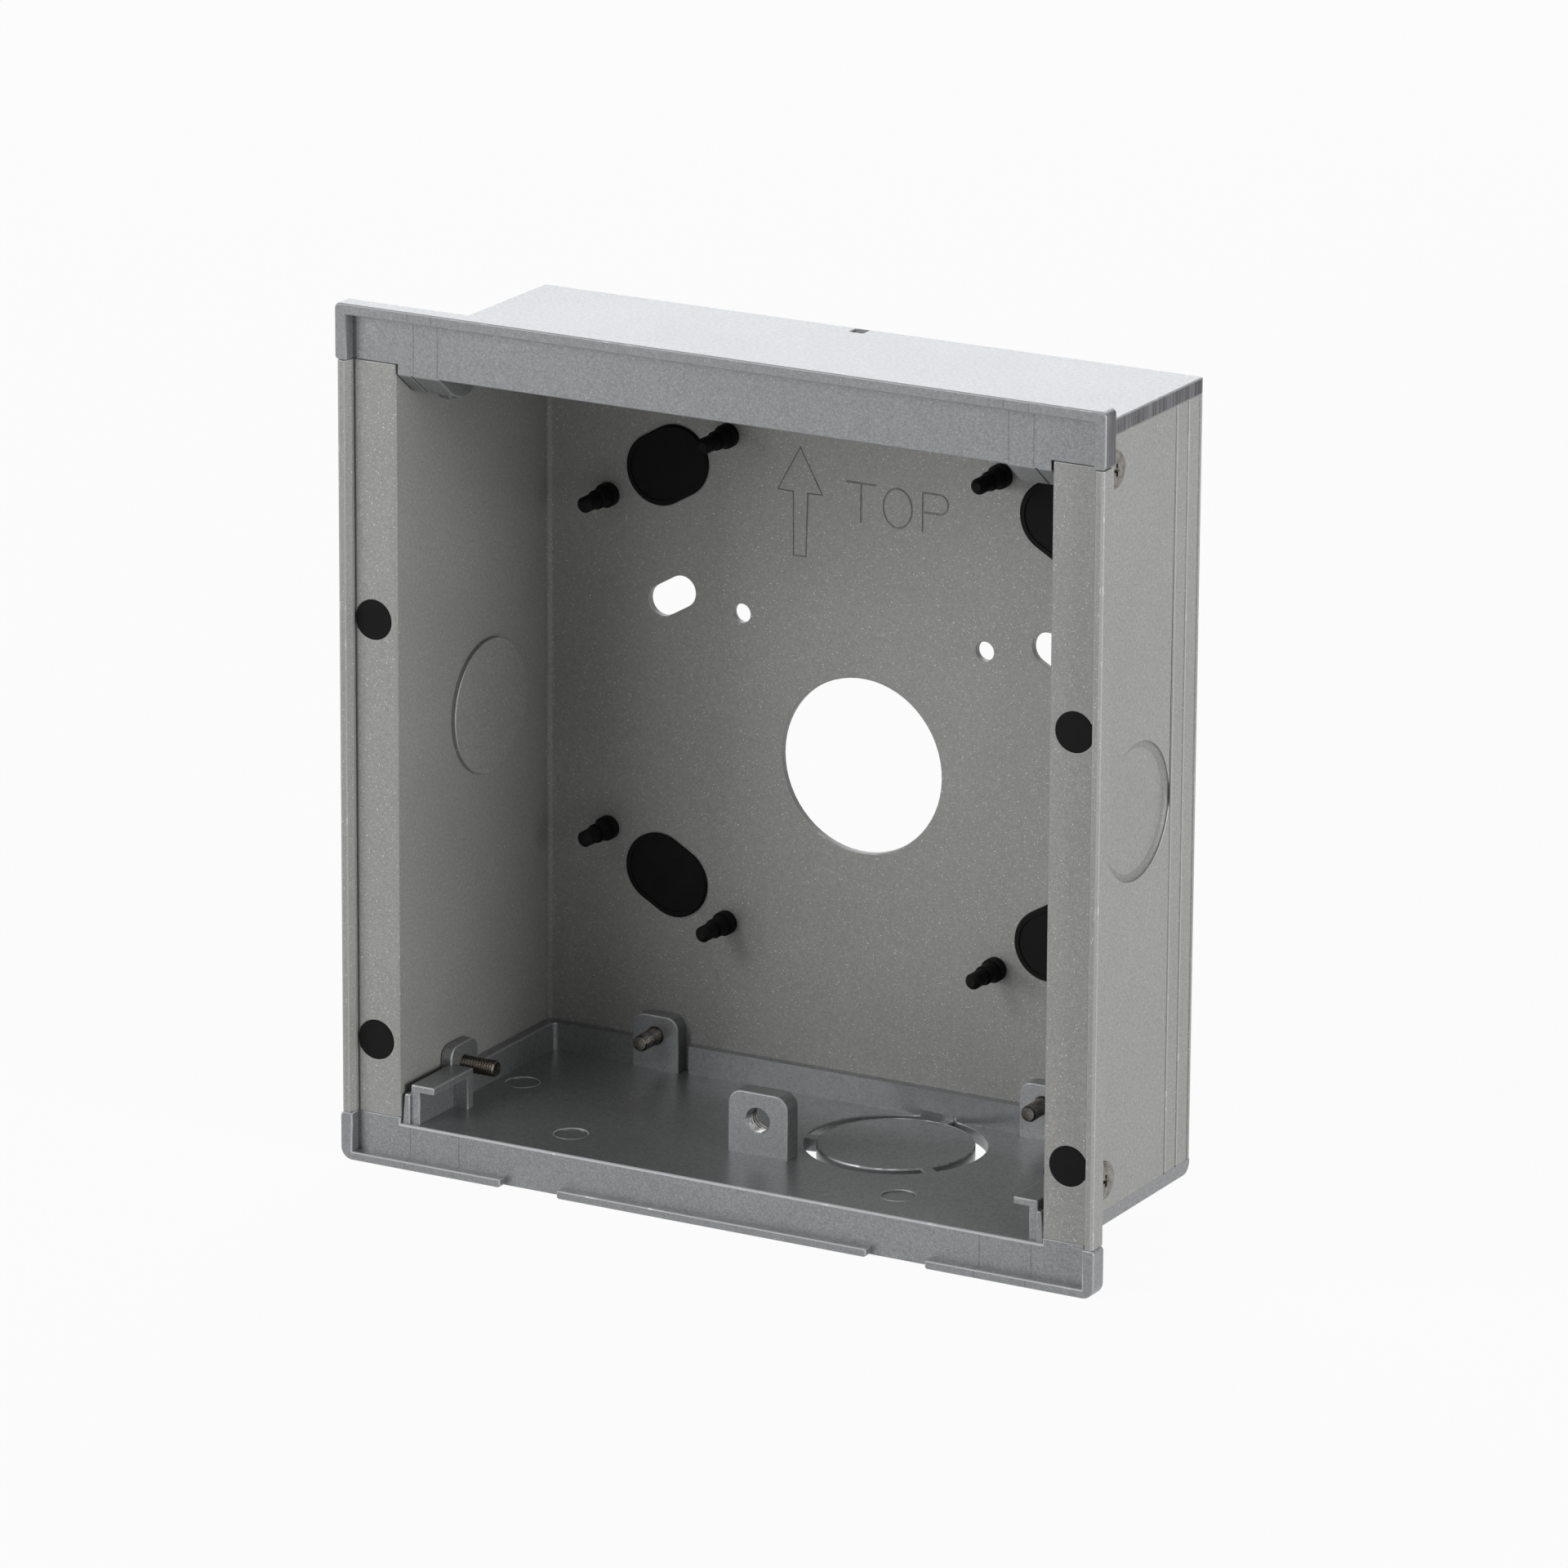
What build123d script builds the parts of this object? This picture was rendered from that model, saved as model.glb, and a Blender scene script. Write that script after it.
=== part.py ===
from build123d import *
import os
from math import cos, radians, sin

# Flush back box: one aluminium extrusion closed by a cast cap at the top and one at the bottom.
# While it is modelled, X runs to the right, Y into the wall and Z up,
# with the origin in the middle of the front plane of the rims.

# Overall sizes, in millimetres
front_width = 150.0
front_height = 156.0
body_depth = 55.2
flange_reach = 9.7
side_wall = 1.3
back_wall = 1.4

# Front flange and its raised rim
flange_depth = 3.8
flat_depth = 2.1
extrusion_setback = 0.3
rim_width = 1.5
rim_slope = 0.6
rim_groove_width = 0.4
rim_groove_depth = 0.4
rim_bevel = 0.4
opening_edge_radius = 0.5

# Corners of the extrusion
inner_corner_radius = 1.5
outer_corner_radius = 0.6

# Grooves along the outside of the side walls, counted from the back
side_groove_last = 1.2
side_groove_pitch = 4.35
side_groove_count = 3
side_groove_width = 0.8
side_groove_depth = 0.4

# Openings in the back wall
cable_hole_diameter = 32.0
cable_hole_z = -8.2
fixing_hole_diameter = 3.5
fixing_hole_spacing = 48.6
fixing_hole_z = 16.3
slot_width = 5.8
slot_length = 10.0
slot_angle = 30.0
slot_spacing = 76.8
slot_z = 17.5

# Oval cable plugs, and a pin plug beyond each end of every oval
plug_group_spacing = 78.6
plug_group_top_z = 41.4
plug_group_bottom_z = -34.3
plug_angle = 30.0
oval_length = 17.0
oval_width = 13.2
oval_seat = 0.8
oval_lip = 0.7
oval_dish = 0.2
oval_dish_rim = 1.0
oval_edge = 0.3
pin_spacing = 28.0
pin_hole_diameter = 3.0
pin_length = 9.2
pin_nose_diameter = 2.9
pin_body_diameter = 3.5
pin_collar_diameter = 4.4
pin_collar_height = 1.4
pin_neck_diameter = 2.3
pin_neck_width = 0.7
pin_nose_length = 3.9
pin_nose_edge = 0.7
rubber_clearance = 0.05

# Round plugs in the flange
flange_plug_diameter = 7.2
flange_plug_edge = 6.2
flange_plug_top_z = 21.4
flange_plug_bottom_z = -55.5
flange_plug_head = 0.8
flange_plug_proud = 0.1
flange_plug_seat = 0.9

# Pressed knock-out in each side wall
side_knockout_diameter = 24.6
side_knockout_from_back = 22.7
side_knockout_z = -1.0
side_knockout_step = 0.9

# Both caps
cap_rim_width = 2.3
cap_groove_width = 0.7
cap_groove_depth = 0.4
cap_side_gap = 0.3
top_setback = 7.3
bottom_setback = 5.1
top_plate = 2.9
bottom_plate = 2.6
top_band_height = 10.1
bottom_band_height = 8.8
top_rim_height = 2.0
bottom_rim_height = 1.6
top_corner_radius = 1.0
bottom_corner_radius = 2.3
return_end_radius = 0.8

# Top cap
top_band_drop = 1.8
notch_width = 2.6
notch_length = 2.8
notch_depth = 1.8
hook_width = 8.4
hook_groove_inset = 3.1
hook_groove_width = 0.35
hook_ramp_end = 7.2
hook_ramp_drop = 3.9
hook_end = 11.0
hook_drop = 4.7
hook_corner_radius = 0.9

# Bottom cap
bottom_rear_radius = 2.3
rim_gap_inner = 30.8
rim_gap_outer = 42.4
rim_end_radius = 0.5
rail_side_gap = 1.6
rail_web = 1.7
rail_arm_reach = 4.7
rail_arm = 1.4
rail_height = 7.2
rail_front = 3.3
rail_back = 16.9
rail_end_wall = 2.0
rail_gusset_gap = 0.1
rail_gusset_front = 2.7
rail_gusset_slope = 0.5
rail_gusset_height = 5.5
rail_gusset_depth = 3.0
center_tab_x = -0.8
center_tab_y = 18.4
center_tab_thickness = 4.0
center_tab_width = 11.8
center_tab_height = 11.5
center_tab_radius = 2.6
center_thread_diameter = 4.2
center_thread_chamfer = 0.35
center_thread_height = 6.4
floor_knockout_diameter = 32.4
floor_knockout_x = 17.1
floor_knockout_from_back = 19.0
floor_knockout_slot = 2.2
floor_knockout_web = 2.2
floor_knockout_web_angles = (83.0, 193.0, 321.0)
mark_diameter = 6.2
mark_depth = 0.25
mark_rear_inset = 7.7
mark_rear_y = 32.0
mark_front_x = 32.0
mark_front_y = 14.0

# Lip and screw tabs of both caps
lip_thickness = 1.8
lip_height = 5.1
lip_end_gap = 2.2
lip_break = 1.4
rear_tab_thickness = 2.9
rear_tab_width = 9.4
rear_tab_height = 10.2
rear_tab_left_x = -40.1
rear_tab_right_x = 38.4
rear_tab_radius = 2.4
side_tab_thickness = 2.2
side_tab_gap = 0.1
side_tab_y = 20.6
side_tab_width = 9.3
top_side_tab_height = 9.5
bottom_side_tab_height = 10.3
side_tab_radius = 2.4

# Screws
thread_diameter = 3.0
thread_clearance = 0.05
shank_clearance = 0.2
top_side_screw_height = 5.5
bottom_side_screw_height = 6.3
side_screw_reach = 10.3
side_head_diameter = 6.8
side_head_height = 1.3
side_head_edge = 0.5
rear_screw_height = 6.4
rear_screw_reach = 10.0
rear_head_diameter = 5.6
rear_head_land = 0.15
screw_tip = 0.45

# Places worked out from the sizes above
half_width = front_width / 2
half_height = front_height / 2
wall_outer = half_width - flange_reach
wall_inner = wall_outer - side_wall
back_inner = body_depth - back_wall
rim_outer = half_width - extrusion_setback
rim_foot = rim_outer - rim_width - rim_slope
band_edge = wall_inner - cap_side_gap
ceiling = half_height - top_setback - top_plate
floor_top = -half_height + bottom_setback + bottom_plate
top_joint = half_height - top_band_height
bottom_joint = -half_height + bottom_band_height
over = 1.0


def box(x0, x1, y0, y1, z0, z1):
    """Block between two corners."""
    block = Box(x1 - x0, y1 - y0, z1 - z0)
    return Pos((x0 + x1) / 2, (y0 + y1) / 2, (z0 + z1) / 2) * block


def both_sides(solid):
    """The solid and its mirror image across the middle."""
    return solid + mirror(solid, Plane.YZ)


def along_y(sketch, y0, y1):
    """Sketch drawn as seen from the front, made solid from depth y0 to depth y1."""
    front = Plane((0, y0, 0), x_dir=(1, 0, 0), z_dir=(0, -1, 0))
    return extrude(front * sketch, amount=-(y1 - y0))


def rod(x, z, diameter, y0, y1):
    """Round bar or hole that runs into the wall."""
    return along_y(Pos(x, z) * Circle(diameter / 2), y0, y1)


def cross_rod(y, z, diameter, x0, x1):
    """Round bar or hole that runs across the box."""
    side = Plane((x0, 0, 0), x_dir=(0, 1, 0), z_dir=(1, 0, 0))
    return extrude(side * (Pos(y, z) * Circle(diameter / 2)), amount=x1 - x0)


def upright_edges(solid, x, y):
    """Vertical edges of the solid that stand at x and y."""
    return [e for e in solid.edges().filter_by(Axis.Z)
            if abs(e.center().X - x) < 0.01 and abs(e.center().Y - y) < 0.01]


def half_section():
    """Right half of the extrusion's section, from the front rim to the back wall."""
    foot = rim_foot
    points = [
        (0, back_inner),
        (wall_inner, back_inner),
        (wall_inner, flat_depth),
        (foot - rim_groove_width, flat_depth),
        (foot - rim_groove_width, flat_depth + rim_groove_depth),
        (foot, flat_depth + rim_groove_depth),
        (foot, flat_depth * 0.7),
        (foot + rim_slope, 0),
        (rim_outer - rim_bevel, 0),
        (rim_outer, rim_bevel),
        (rim_outer, flange_depth),
        (wall_outer, flange_depth),
    ]
    for i in reversed(range(side_groove_count)):
        y = body_depth - side_groove_last - i * side_groove_pitch
        points += [(wall_outer, y - side_groove_width / 2),
                   (wall_outer - side_groove_depth, y),
                   (wall_outer, y + side_groove_width / 2)]
    points += [(wall_outer, body_depth), (0, body_depth)]
    return make_face(Polyline(*points, close=True))


def plug_places():
    """Centre and turn of each of the four groups of an oval plug and two pins."""
    places = {}
    for level, z, lean in (("top", plug_group_top_z, 1), ("bottom", plug_group_bottom_z, -1)):
        for side, sign in (("left", -1), ("right", 1)):
            angle = -sign * lean * plug_angle
            places[f"{level}_{side}"] = (sign * plug_group_spacing / 2, z, angle)
    return places


def pin_places():
    """Centre of each pin, inner and outer of every group."""
    places = {}
    for name, (x, z, angle) in plug_places().items():
        dx = pin_spacing / 2 * cos(radians(angle))
        dz = pin_spacing / 2 * sin(radians(angle))
        outward = 1 if x > 0 else -1
        places[f"{name}_outer"] = (x + outward * dx, z + outward * dz)
        places[f"{name}_inner"] = (x - outward * dx, z - outward * dz)
    return places


def flange_plug_places():
    """Centre of each round plug in the flange."""
    places = {}
    for level, z in (("top", flange_plug_top_z), ("bottom", flange_plug_bottom_z)):
        places[f"{level}_left"] = (-half_width + flange_plug_edge, z)
        places[f"{level}_right"] = (half_width - flange_plug_edge, z)
    return places


def rear_screw_places():
    """Centre of each screw that comes through the back wall."""
    places = {}
    for level, z in (("top", ceiling - rear_screw_height), ("bottom", floor_top + rear_screw_height)):
        places[f"{level}_left"] = (rear_tab_left_x, z)
        places[f"{level}_right"] = (rear_tab_right_x, z)
    return places


def side_screw_places():
    """Side and height of each screw that comes through a side wall."""
    places = {}
    for level, z in (("top", ceiling - top_side_screw_height),
                     ("bottom", floor_top + bottom_side_screw_height)):
        places[f"{level}_left"] = (-1, z)
        places[f"{level}_right"] = (1, z)
    return places


def oval(x, z, angle, length, width):
    """Oval outline at its place and turn."""
    return Pos(x, z) * Rot(0, 0, angle) * SlotOverall(length, width)


def back_openings():
    """Everything that is cut through the back wall."""
    y0 = back_inner - over
    y1 = body_depth + over
    cuts = rod(0, cable_hole_z, cable_hole_diameter, y0, y1)
    cuts += both_sides(rod(fixing_hole_spacing / 2, fixing_hole_z, fixing_hole_diameter, y0, y1))
    slot = oval(slot_spacing / 2, slot_z, -slot_angle, slot_length, slot_width)
    cuts += both_sides(along_y(slot, y0, y1))
    for x, z, angle in plug_places().values():
        hole = oval(x, z, angle, oval_length - 2 * oval_seat, oval_width - 2 * oval_seat)
        cuts += along_y(hole, y0, y1)
    for x, z in pin_places().values():
        cuts += rod(x, z, pin_hole_diameter, y0, y1)
    for x, z in rear_screw_places().values():
        cuts += rod(x, z, thread_diameter + 2 * shank_clearance, y0, y1)
        cuts += rear_head(x, z, thread_clearance)
    return cuts


def side_knockout(extrusion):
    """Discs pressed inwards, half sheared from both side walls."""
    y = body_depth - side_knockout_from_back
    z = side_knockout_z
    outside = cross_rod(y, z, side_knockout_diameter, wall_outer - side_knockout_step, wall_outer + over)
    inside = cross_rod(y, z, side_knockout_diameter, wall_inner - side_knockout_step, wall_inner + 0.01)
    return extrusion + both_sides(inside) - both_sides(outside)


def body_extrusion():
    """Back wall, side walls and flanges, with all that is drilled or pressed in them."""
    section = both_sides(half_section())
    body = Pos(0, 0, floor_top) * extrude(section, amount=ceiling - floor_top)
    for side in (-1, 1):
        body = fillet(upright_edges(body, side * wall_inner, back_inner), inner_corner_radius)
        body = fillet(upright_edges(body, side * wall_outer, body_depth), outer_corner_radius)
        body = fillet(upright_edges(body, side * wall_inner, flat_depth), opening_edge_radius)
    short = box(wall_inner - over, half_width, -over, flange_depth, floor_top - over, bottom_joint)
    body -= both_sides(short)
    body -= back_openings()
    for x, z in flange_plug_places().values():
        body -= rod(x, z, flange_plug_diameter, -over, flat_depth + flange_plug_head)
        body -= rod(x, z, flange_plug_diameter - 2 * flange_plug_seat, flat_depth, flange_depth + over)
    for sign, z in side_screw_places().values():
        hole = cross_rod(side_tab_y, z, thread_diameter + 2 * shank_clearance,
                         wall_inner - over, wall_outer + over)
        body -= hole if sign > 0 else mirror(hole, Plane.YZ)
    return side_knockout(body)


def band(sign, joint, edge, rim_height, corner_radius):
    """Front band of a cap with its raised rim; sign is 1 at the top and -1 at the bottom."""
    end = sign * half_height
    low, high = sorted((joint, end))
    flat = box(-half_width, half_width, flat_depth, flange_depth, low, high)
    middle_low, middle_high = sorted((edge, end))
    flat += box(-band_edge, band_edge, flat_depth, flange_depth, middle_low, middle_high)
    rim = box(-half_width, half_width, 0, flange_depth, low, high)
    inner = half_width - cap_rim_width
    inner_low, inner_high = sorted((joint - sign * over, end - sign * rim_height))
    rim -= box(-inner, inner, -over, flat_depth, inner_low, inner_high)
    piece = flat + rim
    piece -= both_sides(box(inner - cap_groove_width, inner, flat_depth - over,
                            flat_depth + cap_groove_depth, inner_low, inner_high))
    corners = [e for e in piece.edges().filter_by(Axis.Y)
               if abs(abs(e.center().X) - half_width) < 0.01 and abs(e.center().Z - end) < 0.01]
    piece = fillet(corners, corner_radius)
    returns = [e for e in piece.edges().filter_by(Axis.Y)
               if abs(abs(e.center().X) - half_width) < 0.01 and abs(e.center().Z - joint) < 0.01]
    return fillet(returns, return_end_radius)


def rounded_tab(width, height, radius):
    """Outline of an upright tab on a base line, with its two free corners rounded."""
    outline = Pos(0, height / 2) * Rectangle(width, height)
    return fillet(outline.vertices().group_by(Axis.Y)[-1], radius)


def rear_tabs_and_lip():
    """Lip along the back wall and the two screw tabs that interrupt it, standing on z = 0."""
    y0 = back_inner - lip_thickness
    half_tab = rear_tab_width / 2
    lip_end = wall_inner - lip_end_gap
    starts = (-lip_end, rear_tab_left_x + half_tab + lip_break, rear_tab_right_x + half_tab + lip_break)
    ends = (rear_tab_left_x, rear_tab_right_x, lip_end)
    piece = Part()
    for x0, x1 in zip(starts, ends):
        piece += box(x0, x1, y0, back_inner, 0, lip_height)
    tab = rounded_tab(rear_tab_width, rear_tab_height, rear_tab_radius)
    for x in (rear_tab_left_x, rear_tab_right_x):
        piece += along_y(Pos(x, 0) * tab, back_inner - rear_tab_thickness, back_inner)
        piece -= rod(x, rear_screw_height, thread_diameter + 2 * thread_clearance,
                     back_inner - rear_tab_thickness - over, back_inner + over)
    return piece


def side_tabs(tab_height, screw_height):
    """Tabs behind the side walls that take the side screws, standing on z = 0."""
    x1 = wall_inner - side_tab_gap
    side = Plane((x1 - side_tab_thickness, side_tab_y, 0), x_dir=(0, 1, 0), z_dir=(1, 0, 0))
    outline = rounded_tab(side_tab_width, tab_height, side_tab_radius)
    tab = extrude(side * outline, amount=side_tab_thickness)
    tab -= cross_rod(side_tab_y, screw_height, thread_diameter + 2 * thread_clearance,
                     x1 - side_tab_thickness - over, x1 + over)
    return both_sides(tab)


def top_hooks(edge):
    """Sloped blocks behind the top band, one in each upper corner of the opening."""
    bottom = ceiling - hook_drop - top_band_drop
    profile = make_face(Polyline(
        (flat_depth, edge),
        (hook_ramp_end, edge - hook_ramp_drop),
        (hook_end - hook_corner_radius, bottom),
        (hook_end, bottom + hook_corner_radius),
        (hook_end, ceiling),
        (flat_depth, ceiling),
        close=True))
    hook_start = band_edge - hook_width
    side = Plane((hook_start, 0, 0), x_dir=(0, 1, 0), z_dir=(1, 0, 0))
    hook = extrude(side * profile, amount=hook_width)
    groove_start = band_edge - hook_groove_inset
    groove = Plane((groove_start, 0, 0), x_dir=(0, 1, 0), z_dir=(1, 0, 0)) * profile
    line = extrude(groove, amount=hook_groove_width)
    sunk = Pos(0, hook_groove_width, hook_groove_width) * line
    return both_sides(hook - (line - sunk))


def top_cap():
    """Cast cap that closes the top: plate, front band, hooks, lip and tabs."""
    edge = top_joint - top_band_drop
    cap = band(1, top_joint, edge, top_rim_height, top_corner_radius)
    plate = box(-wall_outer, wall_outer, flat_depth + over, body_depth, ceiling, ceiling + top_plate)
    plate = fillet(upright_edges(plate, wall_outer, body_depth), outer_corner_radius)
    plate = fillet(upright_edges(plate, -wall_outer, body_depth), outer_corner_radius)
    cap += plate
    cap -= box(-notch_width / 2, notch_width / 2, body_depth - notch_length, body_depth + over,
               ceiling + top_plate - notch_depth, ceiling + top_plate + over)
    cap += top_hooks(edge)
    hanging = rear_tabs_and_lip() + side_tabs(top_side_tab_height, top_side_screw_height)
    cap += Pos(0, 0, ceiling) * mirror(hanging, Plane.XY)
    return cap


def l_rails():
    """Rail with an inward arm in each lower corner of the opening, standing on z = 0."""
    outer = wall_inner - rail_side_gap
    tip = outer - rail_arm_reach
    web = box(outer - rail_web, outer, rail_front, rail_back, 0, rail_height)
    arm = box(tip, outer, rail_front, rail_back, rail_height - rail_arm, rail_height)
    end = box(tip, outer, rail_back - rail_end_wall, rail_back, 0, rail_height)
    foot = wall_inner - rail_gusset_gap
    gusset = make_face(Polyline((outer - rail_web, 0), (foot, 0), (foot - rail_gusset_slope, rail_gusset_height),
                                (outer - rail_web, rail_gusset_height), close=True))
    support = along_y(gusset, rail_gusset_front, rail_gusset_front + rail_gusset_depth)
    support -= box(tip, outer, 0, rail_front, -over, rail_height)
    return both_sides(web + arm + end + support)


def floor_knockout():
    """Ring cut through the floor round a disc, broken by narrow webs."""
    z0 = floor_top - bottom_plate - over
    z1 = floor_top + over
    ring = Circle(floor_knockout_diameter / 2) - Circle(floor_knockout_diameter / 2 - floor_knockout_slot)
    reach = floor_knockout_diameter / 2 + over
    for angle in floor_knockout_web_angles:
        ring -= Rot(0, 0, angle) * Pos(reach / 2, 0) * Rectangle(reach, floor_knockout_web)
    y = body_depth - floor_knockout_from_back
    return Pos(floor_knockout_x, y, z0) * extrude(ring, amount=z1 - z0)


def rim_gaps():
    """Two breaks in the bottom rim, with rounded ends."""
    z = -half_height + bottom_rim_height / 2
    middle = (rim_gap_inner + rim_gap_outer) / 2
    width = rim_gap_outer - rim_gap_inner
    gap = Pos(middle, z) * Rectangle(width, bottom_rim_height + over)
    tool = Pos(middle, z - over / 2) * Rectangle(width + 2 * rim_end_radius, bottom_rim_height)
    for side in (-1, 1):
        x = middle + side * (width / 2 + rim_end_radius)
        tool -= Pos(x, -half_height + rim_end_radius) * Circle(rim_end_radius)
    low = Pos(middle, -half_height) * Rectangle(width + 2 * rim_end_radius, 2 * rim_end_radius)
    return both_sides(along_y(gap + (tool & low), -over, flat_depth))


def center_tab():
    """Thick tab with the thread for the front's fixing screw, standing on z = 0."""
    y0 = center_tab_y
    y1 = center_tab_y + center_tab_thickness
    outline = rounded_tab(center_tab_width, center_tab_height, center_tab_radius)
    tab = along_y(Pos(center_tab_x, 0) * outline, y0, y1)
    tab -= rod(center_tab_x, center_thread_height, center_thread_diameter, y0 - over, y1 + over)
    mouths = [e for e in tab.edges().filter_by(GeomType.CIRCLE)
              if abs(e.radius - center_thread_diameter / 2) < 0.01]
    return chamfer(mouths, center_thread_chamfer)


def floor_marks():
    """Shallow round marks in the floor."""
    marks = Part()
    for x, y in ((wall_inner - mark_rear_inset, mark_rear_y), (mark_front_x, mark_front_y)):
        marks += Pos(x, y, floor_top) * Cylinder(mark_diameter / 2, 2 * mark_depth)
    return both_sides(marks)


def bottom_cap():
    """Cast cap that closes the bottom: plate, front band, rails, lip, tabs and knock-out."""
    cap = band(-1, bottom_joint, floor_top, bottom_rim_height, bottom_corner_radius)
    cap -= box(-wall_inner, wall_inner, -over, flange_depth + over, floor_top, bottom_joint + over)
    cap -= rim_gaps()
    plate = box(-wall_outer, wall_outer, flat_depth + over, body_depth, floor_top - bottom_plate, floor_top)
    rear = [e for e in plate.edges().filter_by(Axis.X)
            if abs(e.center().Y - body_depth) < 0.01 and e.center().Z < floor_top - over]
    plate = fillet(rear, bottom_rear_radius)
    cap += plate
    stand = l_rails() + rear_tabs_and_lip() + center_tab()
    stand += side_tabs(bottom_side_tab_height, bottom_side_screw_height)
    cap += Pos(0, 0, floor_top) * stand
    cap -= floor_knockout()
    cap -= floor_marks()
    return cap


def shank(length):
    """Threaded length of a screw, hanging down from z = 0."""
    rod_down = Cylinder(thread_diameter / 2, length, align=(Align.CENTER, Align.CENTER, Align.MAX))
    return chamfer(rod_down.edges().group_by(Axis.Z)[0], screw_tip)


def side_screw(sign, z):
    """Low round-headed screw from outside the side wall into the cap's tab."""
    head = Cylinder(side_head_diameter / 2, side_head_height, align=(Align.CENTER, Align.CENTER, Align.MIN))
    head = chamfer(head.edges().group_by(Axis.Z)[-1], side_head_edge)
    screw = head + shank(side_screw_reach)
    return Pos(sign * wall_outer, side_tab_y, z) * Rot(0, sign * 90, 0) * screw


def rear_head(x, z, clearance):
    """Countersunk head, flush with the outside of the back wall."""
    top = rear_head_diameter / 2 + clearance
    root = thread_diameter / 2 + clearance
    slope = top - root
    cone = Pos(0, 0, -rear_head_land - slope / 2) * Cone(root, top, slope)
    land = Pos(0, 0, -rear_head_land / 2) * Cylinder(top, rear_head_land)
    return Pos(x, body_depth, z) * Rot(-90, 0, 0) * (cone + land)


def rear_screw(x, z):
    """Countersunk screw from behind the back wall into the cap's tab."""
    inward = Pos(x, body_depth - rear_head_land, z) * Rot(-90, 0, 0)
    return rear_head(x, z, 0) + inward * shank(rear_screw_reach - rear_head_land)


def oval_plug(x, z, angle):
    """Rubber plug that fills its hole, with a lip on the wall's front face and a dished front."""
    front = along_y(oval(x, z, angle, oval_length, oval_width), back_inner - oval_lip, back_inner)
    front = chamfer(front.faces().sort_by(Axis.Y)[0].edges(), oval_edge)
    dish = oval(x, z, angle, oval_length - 2 * oval_dish_rim, oval_width - 2 * oval_dish_rim)
    front -= along_y(dish, back_inner - oval_lip - over, back_inner - oval_lip + oval_dish)
    seat = 2 * (oval_seat + rubber_clearance)
    core = along_y(oval(x, z, angle, oval_length - seat, oval_width - seat), back_inner, body_depth)
    return front + core


def pin_plug(x, z):
    """Stepped rubber pin that stands out of the back wall."""
    y = back_inner - pin_length
    neck_start = y + pin_nose_length
    neck_end = neck_start + pin_neck_width
    tip = rod(x, z, pin_nose_diameter, y, neck_start)
    tip = chamfer(tip.edges().group_by(Axis.Y)[0], pin_nose_edge)
    neck = rod(x, z, pin_neck_diameter, neck_start, neck_end)
    body = rod(x, z, pin_body_diameter, neck_end, back_inner - pin_collar_height)
    collar = rod(x, z, pin_collar_diameter, back_inner - pin_collar_height, back_inner)
    core = rod(x, z, pin_hole_diameter - 2 * rubber_clearance, back_inner, body_depth)
    return tip + neck + body + collar + core


def flange_plug(x, z):
    """Round rubber plug let into the flange's flat."""
    fit = 2 * rubber_clearance
    stem = flange_plug_diameter - 2 * flange_plug_seat
    y0 = flat_depth - flange_plug_proud
    y1 = flat_depth + flange_plug_head
    head = rod(x, z, flange_plug_diameter - fit, y0, y1)
    core = rod(x, z, stem - fit, y1, flange_depth)
    return head + core


# Every piece by its name
pieces = {
    "body_extrusion": body_extrusion(),
    "top_cap": top_cap(),
    "bottom_cap": bottom_cap(),
}
for name, (sign, z) in side_screw_places().items():
    pieces[f"side_screw_{name}"] = side_screw(sign, z)
for name, (x, z) in rear_screw_places().items():
    pieces[f"rear_screw_{name}"] = rear_screw(x, z)
for name, (x, z, angle) in plug_places().items():
    pieces[f"cable_plug_{name}"] = oval_plug(x, z, angle)
for name, (x, z) in pin_places().items():
    pieces[f"pin_plug_{name}"] = pin_plug(x, z)
for name, (x, z) in flange_plug_places().items():
    pieces[f"flange_plug_{name}"] = flange_plug(x, z)

# The finished part stands on its bottom rim, centred left to right and front to back
place = Pos(0, -body_depth / 2, half_height)
os.makedirs("parts", exist_ok=True)
for name, piece in pieces.items():
    export_step(place * piece, f"parts/{name}.step")
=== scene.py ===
from math import cos, pi, radians, sin, tau

import bmesh
import bpy
from mathutils import Matrix, Vector


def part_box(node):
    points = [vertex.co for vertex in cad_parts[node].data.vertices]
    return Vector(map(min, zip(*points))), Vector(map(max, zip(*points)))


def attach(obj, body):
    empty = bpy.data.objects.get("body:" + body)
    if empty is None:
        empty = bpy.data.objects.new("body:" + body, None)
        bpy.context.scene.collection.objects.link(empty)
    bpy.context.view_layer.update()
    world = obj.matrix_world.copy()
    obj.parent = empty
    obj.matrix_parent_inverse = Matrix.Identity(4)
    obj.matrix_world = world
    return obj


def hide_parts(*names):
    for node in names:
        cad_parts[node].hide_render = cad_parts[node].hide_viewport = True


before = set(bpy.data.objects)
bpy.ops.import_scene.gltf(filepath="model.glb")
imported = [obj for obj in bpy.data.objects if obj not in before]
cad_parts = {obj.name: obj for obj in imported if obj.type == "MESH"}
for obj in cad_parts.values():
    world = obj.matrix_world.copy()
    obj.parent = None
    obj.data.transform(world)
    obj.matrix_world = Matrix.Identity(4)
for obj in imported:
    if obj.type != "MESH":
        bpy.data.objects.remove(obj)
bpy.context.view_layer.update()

MM = 0.001

# Where the drawing's own origin, the middle of the front plane of the rims, lies in the frame
DRAWING = Vector((0.0, -27.6 * MM, 78.0 * MM))

# Camera: place in millimetres from the drawing's origin, angles in degrees, focal length in pixels
CAMERA_PLACE = Vector((805.3, -1424.6, 494.6))
CAMERA_TURN = 29.0407
CAMERA_PITCH = 16.7343
CAMERA_ROLL = 0.3293
CAMERA_FOCAL = 12217.8
PICTURE_WIDTH = 1920
SENSOR_WIDTH = 36

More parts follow.
